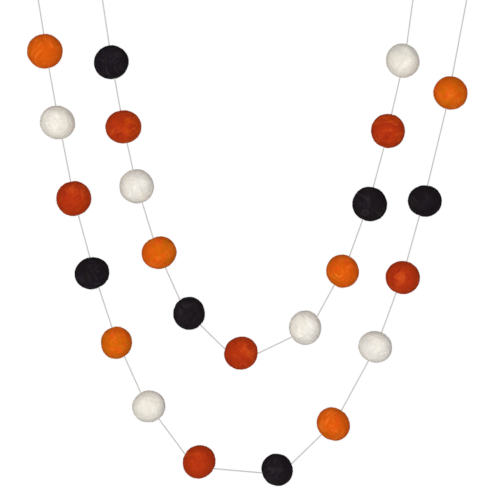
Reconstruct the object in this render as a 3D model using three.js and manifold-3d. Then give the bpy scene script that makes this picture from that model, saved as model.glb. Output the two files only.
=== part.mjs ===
// A garland of 24 felted wool balls on one cotton thread, hung in two nested swags.
// Seen from the front, X runs to the right and Z up. The whole garland hangs in the plane Y = 0.
// The origin is the top of the loop on the outer swag's left end. All sizes are in millimetres.

import * as THREE from 'three';
import { mergeVertices } from 'three/addons/utils/BufferGeometryUtils.js';
import Module from 'manifold-3d';

const wasm = await Module();
wasm.setup();

// The thread, with the loop and the knot at each end
const THREAD_DIAMETER = 1;
const THREAD_SIDES = 8;
const HOOK_BEND = 3;   // from the middle of a hook to the middle of the thread over it
const LOOP_DROP = 14;  // from the top of an end loop to the middle of its knot
const LOOP_STEPS = 7;
const BEND_STEPS = 4;
const KNOT_LENGTH = 4.2;
const KNOT_WIDTH = 3;
const KNOT_SIDES = 10;

// The hole that the needle leaves through a ball, with a puckered mouth at each end
const BORE_RADIUS = THREAD_DIAMETER / 2 + 0.32;
const MOUTH_RADIUS = 1.7;
const MOUTH_DEPTH = 0.7;

// The felt skin. A multiple of 4 sides and an odd number of rows put corners on the outline.
const BALL_SIDES = 20;
const BALL_ROWS = 13;
const FLAT_WIDTH = 28;     // degrees over which a flat spot fades out
const LUMP_HEIGHT = 0.18;  // of the lumps on the front and the back, which fade out at the rim
const LUMP_PITCH = 14;

const WOOLS = {
  orange: { color: 0xde6011, roughness: 0.95, metalness: 0 },
  white: { color: 0xede8dd, roughness: 0.95, metalness: 0 },
  rust: { color: 0xb63916, roughness: 0.95, metalness: 0 },
  black: { color: 0x201c21, roughness: 0.95, metalness: 0 },
};
const COTTON = { color: 0xd9d7d2, roughness: 0.85, metalness: 0 };

const radians = THREE.MathUtils.degToRad;
const spot = (across, up) => new THREE.Vector3(across, 0, up);
const upright = new THREE.Vector3(0, 1, 0);

// The middles of the four hooks that the thread lies over
const HOOKS = {
  outerLeft: spot(0, -HOOK_BEND),
  innerLeft: spot(47.5, -HOOK_BEND),
  innerRight: spot(285, -HOOK_BEND),
  outerRight: spot(319.5, -HOOK_BEND),
};

// One row for each ball, in the order in which they are threaded: its wool, its middle (across
// and up), its longest and shortest width, the angle at which the longest lies, the angle and
// the depth of its flat spot, and how far inside the swag from its middle the needle went.
// Angles are in degrees, anticlockwise from +X.
const COLUMNS = ['wool', 'across', 'up', 'long', 'short', 'lean', 'flatAt', 'flat', 'inside'];
const OUTER_SWAG = [
  ['orange', 6.8, -55.6, 26.4, 25.4, 10, 210, 0.4, 1.2],
  ['white', 16.2, -108.4, 26.2, 24.4, -25, 150, 0.4, 1.2],
  ['rust', 28.2, -164.8, 26.4, 25.2, 40, 205, 0.4, 0.7],
  ['black', 41.8, -220.2, 26, 23.4, 20, 215, 0.3, 1.9],
  ['orange', 59.8, -271.8, 24, 23, 60, 195, 0.5, 1.6],
  ['white', 84, -319, 24.6, 23.2, 20, 135, 0.2, 0.8],
  ['rust', 121.4, -360.2, 25.2, 23.6, 55, 295, 0.2, 0.3],
  ['black', 179.2, -366, 24.2, 22.8, -50, 185, 0.1, 1],
  ['orange', 220.8, -332, 26, 22.8, -45, 145, 0.3, 1.6],
  ['white', 252.2, -274.8, 25.2, 23, -20, 355, 0.3, 0.4],
  ['rust', 272.4, -223.4, 25.4, 24.6, -20, 245, 0.2, 1],
  ['black', 288.8, -166.6, 25, 23.2, 0, 245, 0.3, 1],
  ['orange', 307.8, -86.4, 25.6, 24.2, -30, 140, 0.3, 1],
];
const INNER_SWAG = [
  ['white', 272.4, -62.6, 25.8, 24, -55, 300, 0.4, 0.5],
  ['rust', 261.6, -114.6, 25.6, 24.8, -50, 350, 0.3, 0.3],
  ['black', 247.8, -168.8, 26.2, 25.2, -40, 145, 0.4, 1.3],
  ['orange', 227.8, -218.6, 24.8, 23.8, -55, 20, 0.1, 0.7],
  ['white', 200, -260.6, 25.4, 23.6, -80, 130, 0.3, 0.8],
  ['rust', 152.4, -279.4, 25.2, 24.2, 30, 350, 0.2, 1.3],
  ['black', 114, -250, 24.4, 23.4, 75, 10, 0.4, 0.9],
  ['orange', 91.6, -204.8, 26, 24, 20, 120, 0.5, 0],
  ['white', 75, -155.8, 25.4, 25.2, -50, 265, 0.3, 0.7],
  ['rust', 65, -111.6, 26.8, 24.4, 5, 165, 0.3, 0.5],
  ['black', 56.2, -63.6, 26, 24.8, 25, 55, 0.3, 0.5],
];

// A row of the table as a ball: an oval that leans in the front view.
function readBall(row) {
  const ball = Object.fromEntries(COLUMNS.map((column, i) => [column, row[i]]));
  ball.middle = spot(ball.across, ball.up);
  ball.halves = new THREE.Vector3(ball.long, (ball.long + ball.short) / 2, ball.short).divideScalar(2);
  ball.level = new THREE.Quaternion().setFromAxisAngle(upright, radians(ball.lean));
  return ball;
}

// Gives each ball of a swag its bore: a straight hole along the mean of the two stretches of
// thread that meet at the ball, set towards the inside of the swag.
function needle(balls, start, end) {
  const stops = [start, ...balls.map((ball) => ball.middle), end];
  balls.forEach((ball, i) => {
    const arriving = ball.middle.clone().sub(stops[i]).normalize();
    const leaving = stops[i + 2].clone().sub(ball.middle).normalize();
    const inward = leaving.clone().sub(arriving);
    ball.axis = leaving.add(arriving).normalize();
    ball.bore = inward.projectOnPlane(ball.axis).setLength(ball.inside).add(ball.middle);
  });
}

// How far a ball's skin lies from the middle of its bore in a unit direction.
function reach(ball, direction) {
  const along = direction.clone().applyQuaternion(ball.level).divide(ball.halves);
  const start = ball.bore.clone().sub(ball.middle).applyQuaternion(ball.level).divide(ball.halves);
  const half = along.dot(start) / along.lengthSq();
  const oval = -half + Math.sqrt(half ** 2 + (1 - start.lengthSq()) / along.lengthSq());

  const skin = direction.clone().setLength(oval).add(ball.bore);
  const out = skin.clone().sub(ball.middle).normalize();
  const rim = Math.hypot(out.x, out.z);  // 1 on the outline seen from the front, 0 at its middle
  const flatWay = spot(Math.cos(radians(ball.flatAt)), Math.sin(radians(ball.flatAt)));
  const fromFlat = out.angleTo(flatWay) / radians(FLAT_WIDTH);
  const wave = skin.multiplyScalar((2 * Math.PI) / LUMP_PITCH);
  const lump = Math.sin(wave.x + wave.y) + Math.sin(wave.y - wave.z);
  return oval - ball.flat * Math.exp(-(fromFlat ** 2)) + LUMP_HEIGHT * (1 - rim ** 2) * lump;
}

// The two points where the thread goes into a ball and comes out of it.
function mouths(ball) {
  return [-1, 1].map((way) => {
    const direction = ball.axis.clone().multiplyScalar(way);
    return direction.clone().setLength(reach(ball, direction)).add(ball.bore);
  });
}

// A felt ball: a turned bead about its bore, whose skin is then moved out to the uneven oval.
function feltBall(ball) {
  const radius = (ball.long + ball.short) / 4;
  const mouth = Math.asin(MOUTH_RADIUS / radius);
  const neck = radius * Math.cos(mouth) - MOUTH_DEPTH;
  const profile = [];
  for (let row = 0; row < BALL_ROWS; row++) {
    const angle = mouth + ((Math.PI - 2 * mouth) * row) / (BALL_ROWS - 1);
    profile.push(new THREE.Vector2(radius * Math.sin(angle), -radius * Math.cos(angle)));
  }
  profile.push(new THREE.Vector2(BORE_RADIUS, neck));
  profile.push(new THREE.Vector2(BORE_RADIUS, -neck));
  profile.push(profile[0]);
  const geometry = new THREE.LatheGeometry(profile, BALL_SIDES).rotateX(Math.PI / 2);

  const swing = Math.atan2(ball.axis.x, ball.axis.z);
  const points = geometry.attributes.position;
  const point = new THREE.Vector3();
  for (let i = 0; i < points.count; i++) {
    point.fromBufferAttribute(points, i);
    const inBore = Math.hypot(point.x, point.y) < (BORE_RADIUS + MOUTH_RADIUS) / 2;
    const ray = inBore ? new THREE.Vector3(0, 0, Math.sign(point.z)) : point.clone().normalize();
    const growth = reach(ball, ray.applyAxisAngle(upright, swing)) / radius;
    point.multiply(inBore ? new THREE.Vector3(1, 1, growth) : new THREE.Vector3().setScalar(growth));
    points.setXYZ(i, point.x, point.y, point.z);
  }

  const mesh = new THREE.Mesh(weld(geometry), new THREE.MeshStandardMaterial(WOOLS[ball.wool]));
  mesh.position.copy(ball.bore);
  mesh.rotation.y = swing;
  return mesh;
}

// A closed shape with its shared vertices merged.
function weld(geometry) {
  geometry.deleteAttribute('normal');
  geometry.deleteAttribute('uv');
  const welded = mergeVertices(geometry);
  welded.computeVertexNormals();
  return welded;
}

// The arc of thread over a hook, anticlockwise between its straight stretches to two points.
function overHook(hook, from, to, steps) {
  const [first, last] = [from, to].map((point, i) => {
    const away = point.clone().sub(hook);
    const lift = Math.acos(HOOK_BEND / away.length());
    return Math.atan2(away.z, away.x) + (i === 0 ? lift : -lift);
  });
  const sweep = THREE.MathUtils.euclideanModulo(last - first, 2 * Math.PI);
  return Array.from({ length: steps + 1 }, (_, step) => {
    const angle = first + (sweep * step) / steps;
    return spot(Math.cos(angle), Math.sin(angle)).multiplyScalar(HOOK_BEND).add(hook);
  });
}

// The knot under an end loop, on the line from the hook to the nearest ball.
function knotUnder(hook, ball) {
  return ball.middle.clone().sub(hook).setLength(LOOP_DROP - HOOK_BEND).add(hook);
}

// A route with a corner at each of its points, where a tube's section lies square to the bend.
class Route extends THREE.Curve {
  constructor(corners) {
    super();
    this.corners = corners;
  }

  getPointAt(t) {
    return this.corners[Math.round(t * (this.corners.length - 1))].clone();
  }

  getTangentAt(t) {
    const i = Math.round(t * (this.corners.length - 1));
    const [before, here, after] = [i - 1, i, i + 1].map((n) => this.corners[n]);
    const tangent = new THREE.Vector3();
    if (before) tangent.add(here.clone().sub(before).normalize());
    if (after) tangent.add(after.clone().sub(here).normalize());
    return tangent.normalize();
  }
}

// A tube of thread along its corners.
function strand(corners) {
  const section = new THREE.Shape();
  for (let side = 0; side < THREAD_SIDES; side++) {
    const angle = (2 * Math.PI * side) / THREAD_SIDES;
    const corner = [Math.cos(angle), Math.sin(angle)].map((n) => (n * THREAD_DIAMETER) / 2);
    if (side === 0) section.moveTo(...corner);
    else section.lineTo(...corner);
  }
  section.closePath();
  const extrudePath = new Route(corners);
  return new THREE.ExtrudeGeometry(section, { steps: corners.length - 1, extrudePath });
}

// A knot: a bead round the thread, longest along the thread.
function knot(middle, hook) {
  const along = middle.clone().sub(hook);
  return new THREE.SphereGeometry(KNOT_WIDTH / 2, KNOT_SIDES, KNOT_SIDES)
    .rotateX(Math.PI / 2)
    .scale(1, 1, KNOT_LENGTH / KNOT_WIDTH)
    .rotateY(Math.atan2(along.x, along.z))
    .translate(middle.x, middle.y, middle.z);
}

// One shape out of several that run into each other.
function fuse(geometries) {
  const solids = geometries.map((geometry) => {
    const shape = weld(geometry);
    const vertProperties = new Float32Array(shape.attributes.position.array);
    const triVerts = new Uint32Array(shape.index.array);
    return new wasm.Manifold(new wasm.Mesh({ numProp: 3, vertProperties, triVerts }));
  });
  const mesh = solids.reduce((whole, solid) => whole.add(solid)).getMesh();
  const fused = new THREE.BufferGeometry();
  fused.setAttribute('position', new THREE.BufferAttribute(mesh.vertProperties, 3));
  fused.setIndex(new THREE.BufferAttribute(mesh.triVerts, 1));
  fused.computeVertexNormals();
  return fused;
}

const garland = new THREE.Group();

const outerBalls = OUTER_SWAG.map(readBall);
const innerBalls = INNER_SWAG.map(readBall);
const outerKnot = knotUnder(HOOKS.outerLeft, outerBalls[0]);
const innerKnot = knotUnder(HOOKS.innerLeft, innerBalls.at(-1));
needle(outerBalls, outerKnot, HOOKS.outerRight);
needle(innerBalls, HOOKS.innerRight, innerKnot);

const balls = [...outerBalls, ...innerBalls];
balls.forEach((ball, i) => {
  const mesh = feltBall(ball);
  mesh.name = `ball_${String(i + 1).padStart(2, '0')}_${ball.wool}`;
  garland.add(mesh);
});

// The thread runs from the outer loop down through the outer swag, over the two right hooks and
// back through the inner swag to the inner loop.
const outerWay = outerBalls.flatMap(mouths);
const innerWay = innerBalls.flatMap(mouths);
const bridge = [HOOKS.outerRight, HOOKS.innerRight].map((hook) => hook.clone().setZ(0));
const thread = [
  outerKnot,
  ...overHook(HOOKS.outerLeft, outerKnot, outerKnot, LOOP_STEPS),
  outerKnot,
  ...outerWay,
  ...overHook(HOOKS.outerRight, outerWay.at(-1), bridge[1], BEND_STEPS),
  ...overHook(HOOKS.innerRight, bridge[0], innerWay[0], BEND_STEPS),
  ...innerWay,
  innerKnot,
  ...overHook(HOOKS.innerLeft, innerKnot, innerKnot, LOOP_STEPS),
  innerKnot,
];
const threadMesh = new THREE.Mesh(
  fuse([strand(thread), knot(outerKnot, HOOKS.outerLeft), knot(innerKnot, HOOKS.innerLeft)]),
  new THREE.MeshStandardMaterial(COTTON),
);
threadMesh.name = 'thread';
garland.add(threadMesh);

export default garland;
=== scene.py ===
# %% [markdown]
# A garland of felted wool balls
#
# The garland is 24 small balls of felted wool on one thin cotton thread. It hangs in two swags,
# one inside the other, and the colours come round in the same order all along the thread.
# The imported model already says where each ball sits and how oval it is. This lesson gives the
# balls their matted skin, lays the twisted thread through them, and lights them softly.

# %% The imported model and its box
import math

import bpy
from mathutils import Matrix, Vector


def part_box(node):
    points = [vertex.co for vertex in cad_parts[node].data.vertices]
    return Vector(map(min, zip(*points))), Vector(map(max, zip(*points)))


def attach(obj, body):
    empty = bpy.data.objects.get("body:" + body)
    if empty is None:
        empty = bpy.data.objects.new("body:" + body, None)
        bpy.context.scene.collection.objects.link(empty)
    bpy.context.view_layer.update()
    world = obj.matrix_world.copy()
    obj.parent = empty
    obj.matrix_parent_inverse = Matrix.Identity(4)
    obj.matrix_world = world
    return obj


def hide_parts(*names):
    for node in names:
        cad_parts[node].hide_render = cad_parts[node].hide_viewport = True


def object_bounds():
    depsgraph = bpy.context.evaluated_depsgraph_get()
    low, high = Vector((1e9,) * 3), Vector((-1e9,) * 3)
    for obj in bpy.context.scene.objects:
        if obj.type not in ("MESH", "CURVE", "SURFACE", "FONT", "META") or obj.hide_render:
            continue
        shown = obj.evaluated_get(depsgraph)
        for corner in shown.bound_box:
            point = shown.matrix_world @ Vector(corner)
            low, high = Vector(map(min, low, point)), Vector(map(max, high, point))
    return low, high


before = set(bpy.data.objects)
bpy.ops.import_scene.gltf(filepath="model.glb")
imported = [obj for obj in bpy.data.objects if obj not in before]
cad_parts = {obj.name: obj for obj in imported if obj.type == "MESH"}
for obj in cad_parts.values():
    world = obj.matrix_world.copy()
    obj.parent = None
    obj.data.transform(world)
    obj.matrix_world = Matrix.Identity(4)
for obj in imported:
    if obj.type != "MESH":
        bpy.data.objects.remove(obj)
cad_box = [list(corner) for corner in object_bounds()]
bpy.ops.object.select_all(action="DESELECT")

MM = 0.001
ball_nodes = sorted(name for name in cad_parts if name.startswith("ball_"))
print(len(ball_nodes), "balls in the model, in a box of", cad_box)

# %% [markdown]
# The camera
#
# The picture was taken straight from the front. A long lens far away keeps the balls at the
# edges as round as those in the middle. The picture is 500 pixels wide, one pixel is 0.742 mm
# of the garland, and the top of the left end loop lies just above the picture's upper edge.

# %% Camera
PIXEL = 0.742 * MM
PICTURE = 500
ORIGIN_PIXEL = (35.1, -24.0)
CAMERA_AWAY = 2.0
SENSOR = 36.0

middle = (PICTURE - 1) / 2
camera_x = (middle - ORIGIN_PIXEL[0]) * PIXEL
camera_z = -(middle - ORIGIN_PIXEL[1]) * PIXEL
bpy.ops.object.camera_add(location=(camera_x, -CAMERA_AWAY, camera_z), rotation=(math.pi / 2, 0, 0))
camera = bpy.context.object
camera.data.sensor_width = SENSOR
camera.data.lens = SENSOR * CAMERA_AWAY / (PICTURE * PIXEL)
bpy.context.scene.camera = camera
print("camera at", tuple(round(n, 3) for n in camera.location), "lens", round(camera.data.lens, 1))

# %% [markdown]
# The floor
#
# The garland hangs well above a plain pale floor, which stays out of the picture. A thin disc is
# enough. It glows a little, so that it looks pale from above too, and it is left out of the light
# that reaches the wool, because it would brighten the balls from below.

# %% Floor
FLOOR_DROP = 0.22
FLOOR_RADIUS = 0.75
FLOOR_THICKNESS = 0.01
FLOOR_GLOW = 0.22

bpy.ops.mesh.primitive_cylinder_add(
    vertices=96, radius=FLOOR_RADIUS, depth=FLOOR_THICKNESS,
    location=(camera_x, 0, cad_box[0][2] - FLOOR_DROP))
floor = bpy.context.object
floor.name = "floor"
floor_paint = bpy.data.materials.new("floor_paint")
floor_paint.use_nodes = True
floor_surface = floor_paint.node_tree.nodes["Principled BSDF"]
floor_surface.inputs["Base Color"].default_value = (0.85, 0.85, 0.84, 1)
floor_surface.inputs["Roughness"].default_value = 0.9
floor_surface.inputs["Emission Color"].default_value = (1, 1, 1, 1)
floor_surface.inputs["Emission Strength"].default_value = FLOOR_GLOW
floor.data.materials.append(floor_paint)
floor.visible_diffuse = False
print("floor at", round(floor.location.z, 3))

# %% [markdown]
# The light
#
# The picture's background is plain white and the balls have no hard shadow. Their middles are
# bright and their rims dark, so most of the light comes from a wide soft source beside the
# camera, a little to the left and low, and only a third comes evenly from all round. A weaker
# light straight behind the garland shows its back and can't reach the rims seen from the front.
# The world looks white to the camera and shines much less on the wool, which keeps the rims dark.

# %% Soft lights


def light(name, place, width, watts):
    """A square soft light that faces the middle of the garland."""
    bpy.ops.object.light_add(type="AREA", location=place)
    lamp = bpy.context.object
    lamp.name = name
    lamp.data.size = width
    lamp.data.energy = watts
    lamp.visible_camera = False
    aim = Vector((camera_x, 0, camera_z)) - lamp.location
    lamp.rotation_euler = aim.to_track_quat("-Z", "Y").to_euler()
    return lamp


lamps = [
    light("soft_front", (camera_x - 0.12, -2.3, camera_z - 0.1), width=0.9, watts=46),
    light("soft_low_left", (camera_x - 1.3, -1.7, camera_z - 0.7), width=0.8, watts=4),
    light("soft_back", (camera_x, 2.3, camera_z), width=0.9, watts=28),
]
print("lights:", ", ".join(lamp.name for lamp in lamps))

# %% White world
WORLD_GLOW = 0.3

world = bpy.data.worlds.new("studio")
bpy.context.scene.world = world
world.use_nodes = True
sky = world.node_tree
sky.nodes.clear()
seen = sky.nodes.new("ShaderNodeBackground")
glow = sky.nodes.new("ShaderNodeBackground")
glow.inputs["Strength"].default_value = WORLD_GLOW
rays = sky.nodes.new("ShaderNodeLightPath")
mix = sky.nodes.new("ShaderNodeMixShader")
out = sky.nodes.new("ShaderNodeOutputWorld")
seen.inputs["Color"].default_value = (1, 1, 1, 1)
glow.inputs["Color"].default_value = (1, 1, 1, 1)
sky.links.new(rays.outputs["Is Camera Ray"], mix.inputs["Fac"])
sky.links.new(glow.outputs[0], mix.inputs[1])
sky.links.new(seen.outputs[0], mix.inputs[2])
sky.links.new(mix.outputs[0], out.inputs["Surface"])
bpy.context.scene.view_settings.view_transform = "Standard"
print("the world gives", WORLD_GLOW, "of the white that the camera sees")

# %% [markdown]
# The way of the thread
#
# One cotton thread runs through all the balls. It starts in the knot of the left outer loop,
# goes round the loop, down and up through the outer swag, over two hooks on the right, and
# back through the inner swag to its own knotted loop. A ball's weight pulls the thread straight,
# so it only bends where it enters or leaves a ball and where it lies over a hook. The points are
# those of the solid thread: one row for each ball, with the place where the thread goes in and
# the place where it comes out, across and up, in millimetres.

# %% Route of the thread
THREAD_DIAMETER = 1.0 * MM
HOOK_BEND = 3.0 * MM
OUTER_SWAG = [
    ((6.1, -42.9), (9.9, -67.9)),
    ((15.0, -96.1), (19.8, -120.5)),
    ((26.0, -152.2), (31.7, -177.0)),
    ((40.3, -208.5), (46.9, -230.7)),
    ((56.7, -260.5), (65.8, -281.7)),
    ((78.1, -309.1), (91.3, -328.1)),
    ((111.0, -354.6), (132.1, -365.2)),
    ((168.0, -368.3), (189.8, -361.7)),
    ((212.4, -339.7), (226.8, -322.2)),
    ((247.0, -285.1), (256.7, -264.2)),
    ((267.6, -234.5), (275.4, -211.5)),
    ((284.9, -177.3), (290.8, -155.1)),
    ((304.6, -98.1), (309.1, -74.3)),
]
INNER_SWAG = [
    ((275.4, -50.6), (270.4, -74.8)),
    ((264.1, -102.3), (258.5, -126.7)),
    ((250.5, -156.4), (242.7, -180.3)),
    ((232.8, -207.7), (221.6, -228.9)),
    ((208.8, -252.4), (190.2, -267.5)),
    ((164.7, -279.8), (140.4, -276.4)),
    ((122.2, -258.5), (107.2, -240.3)),
    ((96.2, -215.9), (87.2, -194.1)),
    ((79.1, -167.7), (72.2, -143.4)),
    ((67.9, -123.5), (63.0, -99.6)),
    ((58.7, -75.8), (54.7, -51.3)),
]


def spot(across, up):
    """A point of the garland's plane, from millimetres."""
    return Vector((across, 0, up)) * MM


OUTER_KNOT = spot(1.4, -13.9)
INNER_KNOT = spot(49.1, -13.9)
HOOK_UP = -3
HOOKS = {
    "outer_left": spot(0, HOOK_UP),
    "inner_left": spot(47.5, HOOK_UP),
    "inner_right": spot(285, HOOK_UP),
    "outer_right": spot(319.5, HOOK_UP),
}
print("the thread goes through", len(OUTER_SWAG + INNER_SWAG), "balls, over", len(HOOKS), "hooks")

# %% Bends over the hooks


def over_hook(hook, start, end, steps=12):
    """The arc of thread over a hook, between its straight stretches to two points."""
    ends = []
    for point, way in ((start, 1), (end, -1)):
        away = point - hook
        ends.append(math.atan2(away.z, away.x) + way * math.acos(HOOK_BEND / away.length))
    sweep = (ends[1] - ends[0]) % (2 * math.pi)
    angles = [ends[0] + sweep * step / steps for step in range(steps + 1)]
    return [hook + HOOK_BEND * Vector((math.cos(a), 0, math.sin(a))) for a in angles]


outer_way = [spot(*point) for row in OUTER_SWAG for point in row]
inner_way = [spot(*point) for row in INNER_SWAG for point in row]
top_right = HOOKS["outer_right"] + Vector((0, 0, HOOK_BEND))
top_inner = HOOKS["inner_right"] + Vector((0, 0, HOOK_BEND))
corners = [OUTER_KNOT, *over_hook(HOOKS["outer_left"], OUTER_KNOT, OUTER_KNOT), OUTER_KNOT]
corners += outer_way + over_hook(HOOKS["outer_right"], outer_way[-1], top_inner)
corners += over_hook(HOOKS["inner_right"], top_right, inner_way[0]) + inner_way
corners += [INNER_KNOT, *over_hook(HOOKS["inner_left"], INNER_KNOT, INNER_KNOT), INNER_KNOT]
print("the route has", len(corners), "corners")

# %% [markdown]
# A twisted thread
#
# A cotton thread is a few plies twisted together, so its section is a small clover that turns
# as it goes along. A curve's tilt could turn it, but Blender stops a tilt at sixty turns, and
# this thread has nearly five hundred. So the tube is built ring by ring: each ring is the clover,
# square to the thread, turned a little further than the ring before. The corners are first
# rounded a little, because a thread in soft wool never kinks, and the line is cut into steps of
# the same length, so that the twist is even.

# %% The line of the thread
TURN_LENGTH = 3.2 * MM
STEPS_A_TURN = 12
STEP = TURN_LENGTH / STEPS_A_TURN
CORNER_ROUNDING = 1.4 * MM
LONGEST_SHARE = 0.45  # of a stretch that a rounded corner may take


def rounded(points, reach, steps=4):
    """The points again, with a short smooth bend in place of each corner."""
    smooth = [points[0]]
    for before, corner, after in zip(points, points[1:], points[2:]):
        arms = []
        for other in (before, after):
            arm = other - corner
            arms.append(corner + arm * min(reach / arm.length, LONGEST_SHARE))
        for step in range(steps + 1):
            t = step / steps
            smooth.append(arms[0].lerp(corner, t).lerp(corner.lerp(arms[1], t), t))
    return smooth + [points[-1]]


def evenly(points, step):
    """Points the same distance apart along a line, from its start to its end."""
    lengths = [(b - a).length for a, b in zip(points, points[1:])]
    count = round(sum(lengths) / step)
    gap = sum(lengths) / count
    even = [points[0]]
    along = 0.0
    piece = 0
    for number in range(1, count):
        while along + lengths[piece] < number * gap:
            along += lengths[piece]
            piece += 1
        t = (number * gap - along) / lengths[piece]
        even.append(points[piece].lerp(points[piece + 1], t))
    return even + [points[-1]]


line = evenly(rounded(corners, CORNER_ROUNDING), STEP)

# %% Three twisted plies
PLIES = 3
RING = 3 * PLIES
GROOVE = 0.12  # half the depth of a groove between two plies, as a share of the radius


def activate(piece):
    """Makes a piece the only selected one and the active one."""
    bpy.ops.object.select_all(action="DESELECT")
    piece.select_set(True)
    bpy.context.view_layer.objects.active = piece


def clover(place, across, up, radius, turn):
    """One ring of the thread: a lobe for each ply, turned by an angle."""
    ring = []
    for i in range(RING):
        angle = 2 * math.pi * i / RING
        lobe = radius * (1 - GROOVE + GROOVE * math.cos(PLIES * angle))
        ring.append(place + lobe * (across * math.cos(angle + turn) + up * math.sin(angle + turn)))
    return ring


def twisted(name, points, diameter):
    """A mesh thread along a line of evenly spaced points."""
    dots = []
    across = Vector((0, 1, 0))
    for i, place in enumerate(points):
        way = (points[min(i + 1, len(points) - 1)] - points[max(i - 1, 0)]).normalized()
        across = (across - way * across.dot(way)).normalized()
        turn = 2 * math.pi * i / STEPS_A_TURN
        dots += clover(place, across, way.cross(across), diameter / 2, turn)
    faces = [tuple(reversed(range(RING))), tuple(range(len(dots) - RING, len(dots)))]
    for first in range(0, len(dots) - RING, RING):
        for side in range(RING):
            here, beside = first + side, first + (side + 1) % RING
            faces.append((here, beside, beside + RING, here + RING))
    mesh = bpy.data.meshes.new(name)
    mesh.from_pydata(dots, [], faces)
    thread = bpy.data.objects.new(name, mesh)
    bpy.context.collection.objects.link(thread)
    activate(thread)
    bpy.ops.object.shade_smooth()
    bpy.ops.object.select_all(action="DESELECT")
    return thread


thread = twisted("garland_thread", line, THREAD_DIAMETER)
print("the thread has", len(thread.data.polygons), "faces")

# %% [markdown]
# The knots
#
# Under each end loop the thread is wound two and a half times round itself and pulled tight,
# and a short tail sticks out. Each knot is a short thread of its own, wound as a helix round the
# two legs of the loop.

# %% Knots
KNOT_TURNS = 2.5
KNOT_STEPS = 40
KNOT_RADIUS = 0.95 * MM
KNOT_ROUNDING = 0.35 * MM
TAIL = 3.2 * MM
TAIL_RISE = TAIL / 2


def knot(name, place, hook):
    """Turns of thread round the line from a hook to a knot, with a tail that leans away."""
    along = (place - hook).normalized()
    side = along.cross(Vector((0, 1, 0)))
    toward = Vector((0, 1, 0))
    turns = []
    for i in range(KNOT_STEPS + 1):
        turned = KNOT_TURNS * i / KNOT_STEPS
        angle = 2 * math.pi * turned
        out_from_legs = KNOT_RADIUS * (side * math.cos(angle) + toward * math.sin(angle))
        turns.append(place + along * THREAD_DIAMETER * (turned - KNOT_TURNS / 2) + out_from_legs)
    start = place - along * THREAD_DIAMETER * KNOT_TURNS / 2
    tail = turns[-1] + TAIL * (turns[-1] - turns[-3]).normalized() - along * TAIL_RISE
    way = rounded([start, *turns, tail], KNOT_ROUNDING)
    return twisted(name, evenly(way, STEP), THREAD_DIAMETER)


knots = [
    knot("knot_outer", OUTER_KNOT, HOOKS["outer_left"]),
    knot("knot_inner", INNER_KNOT, HOOKS["inner_left"]),
]
print("knots of", [len(k.data.polygons) for k in knots], "faces")

# %% [markdown]
# One felt ball
#
# A felt ball starts as loose wool that is rolled wet until it mats into a dense skin. It is
# never quite round: the skin has broad lumps, small dimples and a fine matted grain. One fine
# ball is added here and then copied for every ball of the garland. A copy is wrapped round a
# smoothed copy of its own solid, which gives it that ball's oval, lean and flat spot, and three
# cloud patterns press the skin in and out. Last, the skin is drawn in round the two places where
# the needle went through, in a few small creases.

# %% Master ball
WRAP_RADIUS = 14 * MM
bpy.ops.mesh.primitive_ico_sphere_add(subdivisions=6, radius=WRAP_RADIUS, location=(0, 0, 0))
master = bpy.context.object
master.name = "master_ball"
bpy.ops.object.select_all(action="DESELECT")
print("master ball of", len(master.data.polygons), "faces")

# %% Clouds that press the skin
# Name of the cloud, size of its lumps, and how far it moves the skin in all
CLOUDS = [
    ("broad_lumps", 7.0 * MM, 0.42 * MM),
    ("dimples", 2.4 * MM, 0.2 * MM),
    ("matted_grain", 0.9 * MM, 0.07 * MM),
]
clouds = {}
for name, size, _ in CLOUDS:
    cloud = bpy.data.textures.new(name, "CLOUDS")
    cloud.noise_scale = size
    cloud.noise_depth = 1
    clouds[name] = cloud
print("clouds:", ", ".join(clouds))

# %% Helpers for copies and modifiers


def own_copy(piece, name):
    """A copy of a piece with a mesh of its own."""
    copy = piece.copy()
    copy.data = piece.data.copy()
    copy.name = name
    copy.parent = None
    bpy.context.collection.objects.link(copy)
    return copy


def apply_all(piece):
    """Applies a piece's modifiers from the first to the last."""
    activate(piece)
    for modifier in list(piece.modifiers):
        bpy.ops.object.modifier_apply(modifier=modifier.name)


print("copies get a mesh of their own")

# %% [markdown]
# The shape under the skin
#
# The solid balls have flat facets. Two rounds of subdivision smooth them away, but they also
# shrink the shape a little, so the smooth copy is stretched back to the solid's own box. Near
# each mouth the skin dips in a soft funnel, with a few creases that run out from the thread.

# %% Smooth copy of a solid
SMOOTHING = 2


def fill_box(piece, low, high):
    """Stretches a piece a little until its own box is the given one."""
    points = [vertex.co for vertex in piece.data.vertices]
    for axis in range(3):
        least = min(point[axis] for point in points)
        most = max(point[axis] for point in points)
        growth = (high[axis] - low[axis]) / (most - least)
        for point in points:
            point[axis] = low[axis] + (point[axis] - least) * growth


def smooth_solid(node):
    """A copy of a solid ball without its facets, as large as the solid."""
    target = own_copy(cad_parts[node], "target")
    target.hide_viewport = False
    activate(target)
    bpy.ops.object.mode_set(mode="EDIT")
    bpy.ops.mesh.select_all(action="SELECT")
    bpy.ops.mesh.remove_doubles(threshold=0.01 * MM)
    bpy.ops.object.mode_set(mode="OBJECT")
    rounder = target.modifiers.new("rounder", "SUBSURF")
    rounder.levels = rounder.render_levels = SMOOTHING
    apply_all(target)
    fill_box(target, *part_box(node))
    return target


print("solids are subdivided", SMOOTHING, "times")

# %% Puckered mouths
PUCKER_WIDTH = 2.6 * MM
PUCKER_DEPTH = 0.45 * MM
CREASES = 5
CREASE_SHARE = 0.35  # of the depth


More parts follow.
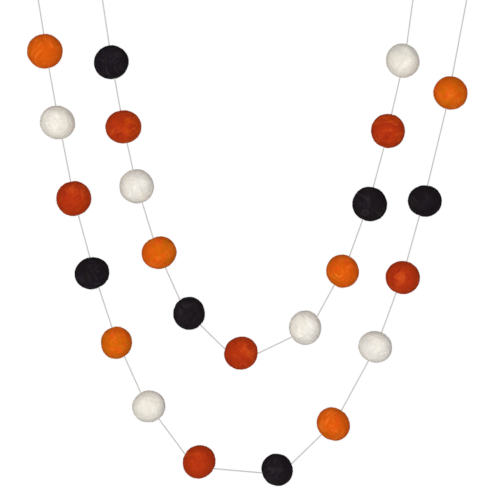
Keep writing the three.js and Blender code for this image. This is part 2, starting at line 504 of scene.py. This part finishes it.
def pucker(ball, mouth, inward):
    """Draws the skin in round the place where the thread goes through it."""
    across = inward.cross(Vector((0, 1, 0)))
    for vertex in ball.data.vertices:
        away = vertex.co - mouth
        if away.length < PUCKER_WIDTH:
            depth = PUCKER_DEPTH * (1 - (away.length / PUCKER_WIDTH) ** 2) ** 2
            crease = math.cos(CREASES * math.atan2(away.y, away.dot(across)))
            vertex.co += inward * depth * (1 + CREASE_SHARE * crease)


print("puckers are", PUCKER_DEPTH / MM, "mm deep")

# %% [markdown]
# Wrapping the skin
#
# Each copy of the fine ball is put at the place of its solid and turned, so that the grid of its
# faces never lies the same way twice. Shrinkwrap draws it onto the smooth solid, and the clouds
# press it in and out. Both are applied, because the puckers are made in the finished mesh.

# %% The 24 felt balls
LOOSE_WOOL = 0.15 * MM  # how far the skin stands off the solid
TURN_ABOUT_X = 1.7      # radians from one ball to the next
TURN_ABOUT_Z = 2.3


def felt_ball(node, number):
    """The felt skin that stands for one solid ball."""
    low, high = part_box(node)
    target = smooth_solid(node)
    ball = own_copy(master, node.replace("ball_", "felt_"))
    about_x = Matrix.Rotation(number * TURN_ABOUT_X, 4, "X")
    about_z = Matrix.Rotation(number * TURN_ABOUT_Z, 4, "Z")
    ball.data.transform(Matrix.Translation((low + high) / 2) @ about_x @ about_z)
    wrap = ball.modifiers.new("wrap", "SHRINKWRAP")
    wrap.target = target
    wrap.wrap_method = "NEAREST_SURFACEPOINT"
    wrap.offset = LOOSE_WOOL
    for name, _, depth in CLOUDS:
        press = ball.modifiers.new(name, "DISPLACE")
        press.texture = clouds[name]
        press.texture_coords = "LOCAL"
        press.strength = depth
        press.mid_level = 0.5
    apply_all(ball)
    bpy.ops.object.shade_smooth()
    bpy.ops.object.select_all(action="DESELECT")
    bpy.data.objects.remove(target)
    first, last = [spot(*mouth) for mouth in (OUTER_SWAG + INNER_SWAG)[number]]
    bore = (last - first).normalized()
    pucker(ball, first, bore)
    pucker(ball, last, -bore)
    return ball


felt_balls = {node: felt_ball(node, number) for number, node in enumerate(ball_nodes)}
bpy.data.objects.remove(master)
print(len(felt_balls), "felt balls of", len(felt_balls[ball_nodes[0]].data.polygons), "faces each")

# %% [markdown]
# Node helpers
#
# Both the fibres and the finishes are trees of nodes. A short helper adds a node, sets its
# values and joins its inputs, so that each tree reads from top to bottom.

# %% A helper for node trees


def add(tree, kind, inputs=None, **settings):
    """Adds a node. An input is given a value, or the output of another node to be joined to."""
    node = tree.nodes.new(kind)
    for name, value in settings.items():
        setattr(node, name, value)
    for name, value in (inputs or {}).items():
        if isinstance(value, bpy.types.NodeSocket):
            tree.links.new(value, node.inputs[name])
        else:
            node.inputs[name].default_value = value
    return node


print("nodes are added by", add.__name__)

# %% [markdown]
# Loose fibres
#
# Close up, felt is covered in fibres. Long ones lie on the skin in curls, and short ends stand up
# as fuzz. Modelling each by hand would take days, and hair particles aren't a mesh. Geometry
# Nodes can scatter both kinds: points on the skin each get a copy of a short curve, turned and
# sized by chance. The scatter has a seed, so it comes out the same each time.

# %% Scattered copies of a curve
BALL_AREA = 4 * math.pi * (12.5 * MM) ** 2


def scattered(tree, given, curve, count, smallest, largest):
    """Copies of a curve all over the skin, each turned and sized by chance."""
    points = add(tree, "GeometryNodeDistributePointsOnFaces", {
        "Mesh": given.outputs["Felt"], "Density": count / BALL_AREA,
        "Seed": given.outputs["Seed"]})
    # Sockets 2 and 3 of this node are the least and the most of a plain number
    chance = add(tree, "FunctionNodeRandomValue", {
        "Seed": given.outputs["Seed"], 3: 2 * math.pi}, data_type="FLOAT")
    spin = add(tree, "FunctionNodeAxisAngleToRotation", {
        "Axis": (0, 0, 1), "Angle": chance.outputs[1]})
    facing = add(tree, "FunctionNodeRotateRotation", {
        "Rotation": points.outputs["Rotation"], "Rotate By": spin.outputs[0]},
        rotation_space="LOCAL")
    size = add(tree, "FunctionNodeRandomValue", {2: smallest, 3: largest}, data_type="FLOAT")
    copies = add(tree, "GeometryNodeInstanceOnPoints", {
        "Points": points.outputs["Points"], "Instance": curve,
        "Rotation": facing.outputs[0], "Scale": size.outputs[1]})
    whole = add(tree, "GeometryNodeRealizeInstances", {"Geometry": copies.outputs[0]})
    return whole.outputs[0]


print("a ball's skin is taken as", round(BALL_AREA / MM ** 2), "square mm")

# %% [markdown]
# From curves to fibres
#
# Copies of one curve look alike, so a soft noise bends each fibre its own way. Then each gets
# a thin three-sided tube that narrows towards its end. Three sides are enough for something
# thinner than a tenth of a millimetre.

# %% Bent curves and thin tubes
TIP_SIZE = 0.25  # of the thickness at the root


def wandering(tree, curves, amount, scale):
    """The curves again, bent by a soft noise."""
    position = add(tree, "GeometryNodeInputPosition").outputs[0]
    noise = add(tree, "ShaderNodeTexNoise", {"Vector": position, "Scale": scale, "Detail": 1.0})
    centred = add(tree, "ShaderNodeVectorMath", {
        0: noise.outputs["Color"], 1: (0.5, 0.5, 0.5)}, operation="SUBTRACT")
    shift = add(tree, "ShaderNodeVectorMath", {
        0: centred.outputs[0], "Scale": amount}, operation="SCALE")
    moved = add(tree, "GeometryNodeSetPosition", {"Geometry": curves, "Offset": shift.outputs[0]})
    return moved.outputs[0]


def tubes(tree, curves, radius):
    """Thin three-sided tubes that narrow from the middle to the end."""
    along = add(tree, "GeometryNodeSplineParameter").outputs["Factor"]
    taper = add(tree, "ShaderNodeMapRange", {
        "Value": along, "From Min": 0.5, "From Max": 1.0, "To Min": 1.0, "To Max": TIP_SIZE})
    sized = add(tree, "GeometryNodeSetCurveRadius", {"Curve": curves, "Radius": taper.outputs[0]})
    ring = add(tree, "GeometryNodeCurvePrimitiveCircle", {"Resolution": 3, "Radius": radius})
    skin = add(tree, "GeometryNodeCurveToMesh", {
        "Curve": sized.outputs[0], "Profile Curve": ring.outputs[0], "Fill Caps": True})
    return skin.outputs[0]


print("a fibre's tip is", TIP_SIZE, "of its thickness")

# %% [markdown]
# Ends that stand up
#
# The end of a fibre leaves the skin nearly upright and leans over at about half a millimetre.
# Its root starts a little under the skin.

# %% Standing ends
STANDING_A_BALL = 330
STANDING_RADIUS = 0.028 * MM
STANDING_WANDER = 0.6 * MM
STANDING_SCALE = 900  # of the noise that bends them, in waves to the metre


def standing_ends(tree, given):
    """The short ends that stand up from the skin."""
    end = add(tree, "GeometryNodeCurveQuadraticBezier", {
        "Resolution": 3, "Start": (0, 0, -0.1 * MM), "Middle": (0.1 * MM, 0, 0.55 * MM),
        "End": (0.75 * MM, 0, 0.6 * MM)})
    ends = scattered(tree, given, end.outputs[0], STANDING_A_BALL, smallest=0.4, largest=1.3)
    return tubes(tree, wandering(tree, ends, STANDING_WANDER, STANDING_SCALE), STANDING_RADIUS)


print("about", STANDING_A_BALL, "ends stand up on each ball")

# %% [markdown]
# Curls that lie on the skin
#
# A long curl is drawn back onto the nearest point of the skin, so that it follows every lump.
# Its middle is then lifted clear and its two ends are sunk, as a fibre comes out of the felt
# and goes back in.

# %% Lying curls
LYING_A_BALL = 130
LYING_RADIUS = 0.045 * MM
LYING_REACH = 3.4 * MM  # from the middle of a curl to its end
LYING_BOW = 2.2 * MM
LYING_WANDER = 3.0 * MM
LYING_SCALE = 260  # of the noise that bends them, in waves to the metre
END_HEIGHT = -0.04 * MM
MIDDLE_HEIGHT = 0.05 * MM


def lift_along(tree):
    """How far a curl stands off the skin: least at both ends and most in the middle."""
    along = add(tree, "GeometryNodeSplineParameter").outputs["Factor"]
    rise = add(tree, "ShaderNodeMath", {0: along, 1: math.pi}, operation="MULTIPLY")
    arch = add(tree, "ShaderNodeMath", {0: rise.outputs[0]}, operation="SINE")
    lift = add(tree, "ShaderNodeMapRange", {
        "Value": arch.outputs[0], "To Min": END_HEIGHT, "To Max": MIDDLE_HEIGHT})
    return lift.outputs[0]


def lying_curls(tree, given):
    """The long curls that lie on the skin."""
    felt = given.outputs["Felt"]
    curl = add(tree, "GeometryNodeCurveQuadraticBezier", {
        "Resolution": 9, "Start": (-LYING_REACH, 0, 0), "Middle": (0, LYING_BOW, 0),
        "End": (LYING_REACH, 0, 0)})
    curls = scattered(tree, given, curl.outputs[0], LYING_A_BALL, smallest=0.5, largest=1.2)
    loose = wandering(tree, curls, LYING_WANDER, LYING_SCALE)
    nearest = add(tree, "GeometryNodeProximity", {"Geometry": felt}, target_element="FACES")
    onto = add(tree, "GeometryNodeSetPosition", {
        "Geometry": loose, "Position": nearest.outputs["Position"]})
    normal = add(tree, "GeometryNodeInputNormal").outputs[0]
    outwards = add(tree, "GeometryNodeSampleNearestSurface", {
        "Mesh": felt, "Value": normal}, data_type="FLOAT_VECTOR")
    lifted = add(tree, "ShaderNodeVectorMath", {
        0: outwards.outputs[0], "Scale": lift_along(tree)}, operation="SCALE")
    lying = add(tree, "GeometryNodeSetPosition", {
        "Geometry": onto.outputs[0], "Offset": lifted.outputs[0]})
    return tubes(tree, lying.outputs[0], LYING_RADIUS)


print("about", LYING_A_BALL, "curls lie on each ball")

# %% The tree of both kinds


def fibre_tree():
    """A node tree that turns a felt ball into the loose fibres on its skin."""
    tree = bpy.data.node_groups.new("loose_fibres", "GeometryNodeTree")
    tree.interface.new_socket("Felt", in_out="INPUT", socket_type="NodeSocketGeometry")
    tree.interface.new_socket("Seed", in_out="INPUT", socket_type="NodeSocketInt")
    tree.interface.new_socket("Fibres", in_out="OUTPUT", socket_type="NodeSocketGeometry")
    given = add(tree, "NodeGroupInput")
    both = add(tree, "GeometryNodeJoinGeometry")
    for fibres in (standing_ends(tree, given), lying_curls(tree, given)):
        tree.links.new(fibres, both.inputs[0])
    smooth = add(tree, "GeometryNodeSetShadeSmooth", {"Geometry": both.outputs[0]})
    result = add(tree, "NodeGroupOutput")
    tree.links.new(smooth.outputs[0], result.inputs["Fibres"])
    return tree


fibres_of = fibre_tree()
print("the fibre tree has", len(fibres_of.nodes), "nodes")

# %% Fibres of every ball


def fuzz(node, number):
    """The loose fibres of one ball, as a piece of their own."""
    piece = own_copy(felt_balls[node], node.replace("ball_", "fuzz_"))
    scatter = piece.modifiers.new("fibres", "NODES")
    scatter.node_group = fibres_of
    scatter["Socket_1"] = number + 1  # the seed
    apply_all(piece)
    bpy.ops.object.select_all(action="DESELECT")
    return piece


fuzzes = {node: fuzz(node, number) for number, node in enumerate(ball_nodes)}
print("fibres of", len(fuzzes[ball_nodes[0]].data.polygons), "faces on the first ball")

# %% [markdown]
# Felt finishes
#
# Dyed wool is blended from lots that are not quite the same shade, so a ball is mottled, and
# the strands of its rolled layers leave soft swirls. One group of nodes gives those strands, one
# blends the lots and the palest strands, and one gives the height of the matted fibres. Each is
# built once and placed in all four wools, with the wool's own shades.

# %% A helper for shader groups


def new_group(name, inputs, outputs):
    """A shader node group with its sockets. Returns the group and its input node."""
    tree = bpy.data.node_groups.new(name, "ShaderNodeTree")
    for label, kind in inputs:
        tree.interface.new_socket(label, in_out="INPUT", socket_type=kind)
    for label, kind in outputs:
        tree.interface.new_socket(label, in_out="OUTPUT", socket_type=kind)
    return tree, add(tree, "NodeGroupInput")


NUMBER = "NodeSocketFloat"
VECTOR = "NodeSocketVector"
COLOUR = "NodeSocketColor"
print("sockets:", NUMBER, VECTOR, COLOUR)

# %% [markdown]
# Strands of the rolled layers
#
# A soft noise makes hills. A second noise changes fast up and down their slopes and slowly
# along them, so its streaks run round the hills, as strands of wool run round a ball.

# %% Rolled layers
SLOPE_STEEPNESS = 0.16


def rolled_layers():
    """A group of strands that follow the rolled layers of wool, from 0 to 1."""
    tree, given = new_group("rolled_layers", [("Place", VECTOR)], [("Strands", NUMBER)])
    place = given.outputs["Place"]
    hills = add(tree, "ShaderNodeTexNoise", {
        "Vector": place, "Scale": 62.0, "Detail": 1.0, "Roughness": 0.35, "Distortion": 0.4})
    slope = add(tree, "ShaderNodeMath", {
        0: hills.outputs[0], 1: SLOPE_STEEPNESS}, operation="MULTIPLY")
    strands = add(tree, "ShaderNodeTexNoise", {
        "Vector": place, "W": slope.outputs[0], "Scale": 80.0, "Detail": 3.0,
        "Roughness": 0.65}, noise_dimensions="4D")
    spread = add(tree, "ShaderNodeMapRange", {
        "Value": strands.outputs[0], "From Min": 0.33, "From Max": 0.67})
    result = add(tree, "NodeGroupOutput")
    tree.links.new(spread.outputs[0], result.inputs["Strands"])
    return tree


layering = rolled_layers()
print("group", layering.name, "of", len(layering.nodes), "nodes")

# %% [markdown]
# Lots of wool in patches
#
# A ball's main shade gives way to a second one in patches, more on some balls than on others,
# because a very wide noise shifts the share from place to place. A third shade follows swirls
# and strands, and the palest one shows on few strands only: partly paler fibres of the wool and
# partly painted highlights, where fibres would catch the light.

# %% Mottled wool
LOT_SHIFT = 0.32     # of the share of the second shade, up or down, from ball to ball
STRAND_SHARE = 0.12  # of the strands in the swirls of the third shade
PALE_SHARE = 0.5     # of the palest shade where it is strongest, partly a painted highlight


def mottled_wool():
    """A group that blends three lots of wool in patches, with paler strands among them."""
    shades = [(label, COLOUR) for label in ("Main", "Second", "Third", "Pale")]
    tree, given = new_group(
        "mottled_wool", [*shades, ("Strands", NUMBER), ("Place", VECTOR)], [("Colour", COLOUR)])
    place, strands = given.outputs["Place"], given.outputs["Strands"]
    lots = add(tree, "ShaderNodeTexNoise", {"Vector": place, "Scale": 17.0, "Detail": 0.0})
    share = add(tree, "ShaderNodeMapRange", {
        "Value": lots.outputs[0], "From Min": 0.3, "From Max": 0.7,
        "To Min": -LOT_SHIFT, "To Max": LOT_SHIFT})
    patches = add(tree, "ShaderNodeTexNoise", {
        "Vector": place, "Scale": 150.0, "Detail": 3.0, "Roughness": 0.6, "Distortion": 0.8})
    shifted = add(tree, "ShaderNodeMath", {
        0: patches.outputs[0], 1: share.outputs[0]}, operation="ADD")
    second = add(tree, "ShaderNodeMapRange", {
        "Value": shifted.outputs[0], "From Min": 0.45, "From Max": 0.65},
        interpolation_type="SMOOTHSTEP")
    swirls = add(tree, "ShaderNodeTexNoise", {
        "Vector": place, "Scale": 110.0, "Detail": 3.0, "Roughness": 0.6, "Distortion": 1.6})
    streaked = add(tree, "ShaderNodeMath", {
        0: strands, 1: STRAND_SHARE, 2: swirls.outputs[0]}, operation="MULTIPLY_ADD")
    third = add(tree, "ShaderNodeMapRange", {
        "Value": streaked.outputs[0], "From Min": 0.5, "From Max": 0.76},
        interpolation_type="SMOOTHSTEP")
    # The palest strands: partly paler fibres, partly painted highlights of fibres that catch the
    # light
    pale = add(tree, "ShaderNodeMapRange", {
        "Value": strands, "From Min": 0.55, "From Max": 1.0, "To Max": PALE_SHARE})
    blend = given.outputs["Main"]
    # Sockets 6 and 7 and output 2 of this node are its colours
    for label, amount in (("Second", second), ("Third", third), ("Pale", pale)):
        blend = add(tree, "ShaderNodeMix", {
            0: amount.outputs[0], 6: blend, 7: given.outputs[label]},
            data_type="RGBA").outputs[2]
    result = add(tree, "NodeGroupOutput")
    tree.links.new(blend, result.inputs["Colour"])
    return tree


mottling = mottled_wool()
print("group", mottling.name, "of", len(mottling.nodes), "nodes")

# %% [markdown]
# Matted fibres
#
# The finest fibres are too small for the mesh, so their height goes into a bump. One noise is
# stretched three ways, and the highest of the three shows at each point, as crossing fibres do.

# %% Height of the matted fibres
# How much finer the noise is along X, Y and Z, for each way in which the fibres run
FIBRE_WAYS = ((1, 3.4, 1.2), (3.2, 1, 1.5), (1.4, 1.1, 3.6))


def matted_fibres():
    """A group that gives the height of fine fibres matted every way, from 0 to 1."""
    tree, given = new_group("matted_fibres", [("Place", VECTOR)], [("Height", NUMBER)])
    heights = []
    for stretch in FIBRE_WAYS:
        way = add(tree, "ShaderNodeMapping", {
            "Vector": given.outputs["Place"], "Scale": stretch})
        strands = add(tree, "ShaderNodeTexNoise", {
            "Vector": way.outputs[0], "Scale": 700.0, "Detail": 3.0, "Roughness": 0.6,
            "Distortion": 0.8})
        heights.append(strands.outputs[0])
    top = heights[0]
    for height in heights[1:]:
        top = add(tree, "ShaderNodeMath", {0: top, 1: height}, operation="MAXIMUM").outputs[0]
    spread = add(tree, "ShaderNodeMapRange", {"Value": top, "From Min": 0.4, "From Max": 0.75})
    result = add(tree, "NodeGroupOutput")
    tree.links.new(spread.outputs[0], result.inputs["Height"])
    return tree


matting = matted_fibres()
print("group", matting.name, "of", len(matting.nodes), "nodes")

# %% [markdown]
# Four wools
#
# The shades were put right, wool by wool, until the mean colour came out as in the picture.
# The fuzz gives back a little light at the rims, which is the sheen. Shade is painted into the
# wool's colour in the hollows between its fibres, most of all in the black, and light on crests.

# %% Shades of the four wools
WOOLS = {
    "orange_felt": {
        "Main": (0.69, 0.102, 0.003),
        "Second": (0.615, 0.13, 0.002),
        "Third": (0.75, 0.086, 0.005),
        "Pale": (0.8, 0.19, 0.02),
    },
    "white_felt": {
        "Main": (0.822, 0.777, 0.693),
        "Second": (0.79, 0.758, 0.7),
        "Third": (0.83, 0.775, 0.675),
        "Pale": (0.9, 0.875, 0.82),
    },
    "rust_felt": {
        "Main": (0.45, 0.034, 0.005),
        "Second": (0.525, 0.056, 0.004),
        "Third": (0.375, 0.024, 0.006),
        "Pale": (0.63, 0.09, 0.012),
    },
    "black_felt": {
        "Main": (0.0123, 0.0089, 0.0124),
        "Second": (0.0118, 0.0091, 0.0158),
        "Third": (0.0147, 0.0107, 0.0113),
        "Pale": (0.028, 0.025, 0.029),
    },
}
FUZZ_LIGHT = {"orange_felt": 0.25, "white_felt": 0.2, "rust_felt": 0.26, "black_felt": 0.13}
# How much shade is painted into each wool's colour in the hollows between its fibres
PAINTED_HOLLOW_SHADE = {"orange_felt": 0.22, "white_felt": 0.22, "rust_felt": 0.22, "black_felt": 0.45}
print("wools:", ", ".join(WOOLS))

# %% Finish of a wool
STRAND_HEIGHT = 0.8     # of the strands, where the matted fibres are 1 high
PAINTED_CREST_LIGHT = 0.7  # how much light is painted on the crests, as a share of the shade painted in the hollows
FIBRE_DEPTH = 0.25 * MM


def wool(name, shades):
    """The finish of one wool, with shade painted into its hollows and light onto its crests."""
    material = bpy.data.materials.new(name)
    material.use_nodes = True
    tree = material.node_tree
    surface = tree.nodes["Principled BSDF"]
    surface.inputs["Roughness"].default_value = 0.92
    surface.inputs["Specular IOR Level"].default_value = 0.03
    surface.inputs["Sheen Weight"].default_value = FUZZ_LIGHT[name]
    surface.inputs["Sheen Roughness"].default_value = 0.6
    surface.inputs["Sheen Tint"].default_value = (*shades["Pale"], 1)
    place = add(tree, "ShaderNodeTexCoord").outputs["Object"]
    layers = add(tree, "ShaderNodeGroup", {}, node_tree=layering)
    fibres = add(tree, "ShaderNodeGroup", {}, node_tree=matting)
    blend = add(tree, "ShaderNodeGroup", {}, node_tree=mottling)
    for group in (layers, fibres, blend):
        tree.links.new(place, group.inputs["Place"])
    tree.links.new(layers.outputs["Strands"], blend.inputs["Strands"])
    for label, shade in shades.items():
        blend.inputs[label].default_value = (*shade, 1)
    relief = add(tree, "ShaderNodeMath", {
        0: layers.outputs["Strands"], 1: STRAND_HEIGHT, 2: fibres.outputs["Height"]},
        operation="MULTIPLY_ADD")
    # Painted shade and light: the colour is darkened in the hollows of the relief and paler on its
    # crests
    hollow_shade = PAINTED_HOLLOW_SHADE[name]
    painted_light_and_shade = add(tree, "ShaderNodeMapRange", {
        "Value": relief.outputs[0], "From Max": 1 + STRAND_HEIGHT,
        "To Min": 1 - hollow_shade, "To Max": 1 + PAINTED_CREST_LIGHT * hollow_shade})
    shaded = add(tree, "ShaderNodeVectorMath", {
        0: blend.outputs["Colour"], "Scale": painted_light_and_shade.outputs[0]}, operation="SCALE")
    tree.links.new(shaded.outputs[0], surface.inputs["Base Color"])
    bump = add(tree, "ShaderNodeBump", {
        "Strength": 0.5, "Distance": FIBRE_DEPTH, "Height": relief.outputs[0]})
    tree.links.new(bump.outputs[0], surface.inputs["Normal"])
    return material


wools = {name: wool(name, shades) for name, shades in WOOLS.items()}
print(len(wools), "wools of", len(wools["orange_felt"].node_tree.nodes), "nodes each")

# %% [markdown]
# Cotton
#
# The thread is undyed cotton: pale, matte and a little grey. A fine noise blends a darker and a
# paler grey, so that lint seems to catch the light here and there.

# %% Cotton
DARK_COTTON = (0.41, 0.4, 0.38, 1)
PALE_COTTON = (0.69, 0.67, 0.645, 1)

cotton = bpy.data.materials.new("cotton_thread")
cotton.use_nodes = True
cotton_tree = cotton.node_tree
cotton_surface = cotton_tree.nodes["Principled BSDF"]
cotton_surface.inputs["Roughness"].default_value = 0.85
cotton_surface.inputs["Specular IOR Level"].default_value = 0.2
cotton_surface.inputs["Sheen Weight"].default_value = 0.2
cotton_place = add(cotton_tree, "ShaderNodeTexCoord").outputs["Object"]
lint = add(cotton_tree, "ShaderNodeTexNoise", {
    "Vector": cotton_place, "Scale": 1500.0, "Detail": 2.0})
cotton_blend = add(cotton_tree, "ShaderNodeMix", {
    0: lint.outputs[0], 6: DARK_COTTON, 7: PALE_COTTON}, data_type="RGBA")
cotton_tree.links.new(cotton_blend.outputs[2], cotton_surface.inputs["Base Color"])
print("the cotton has", len(cotton_tree.nodes), "nodes")

# %% [markdown]
# Handing the pieces over
#
# Every piece rides on the garland's one body. The felt balls and the thread stand for their
# solids, and the fibres and the wound knots only add to them.

# %% Pieces and slots
for node in ball_nodes:
    slot = node.split("_")[-1] + "_felt"
    for piece in (felt_balls[node], fuzzes[node]):
        piece.data.materials.clear()
        piece.data.materials.append(wools[slot])
        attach(piece, "root")
    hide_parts(node)

for piece in (thread, *knots):
    piece.data.materials.clear()
    piece.data.materials.append(cotton)
    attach(piece, "root")
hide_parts("thread")
print(len(felt_balls) + len(fuzzes) + 1 + len(knots), "pieces ride on the garland's body")
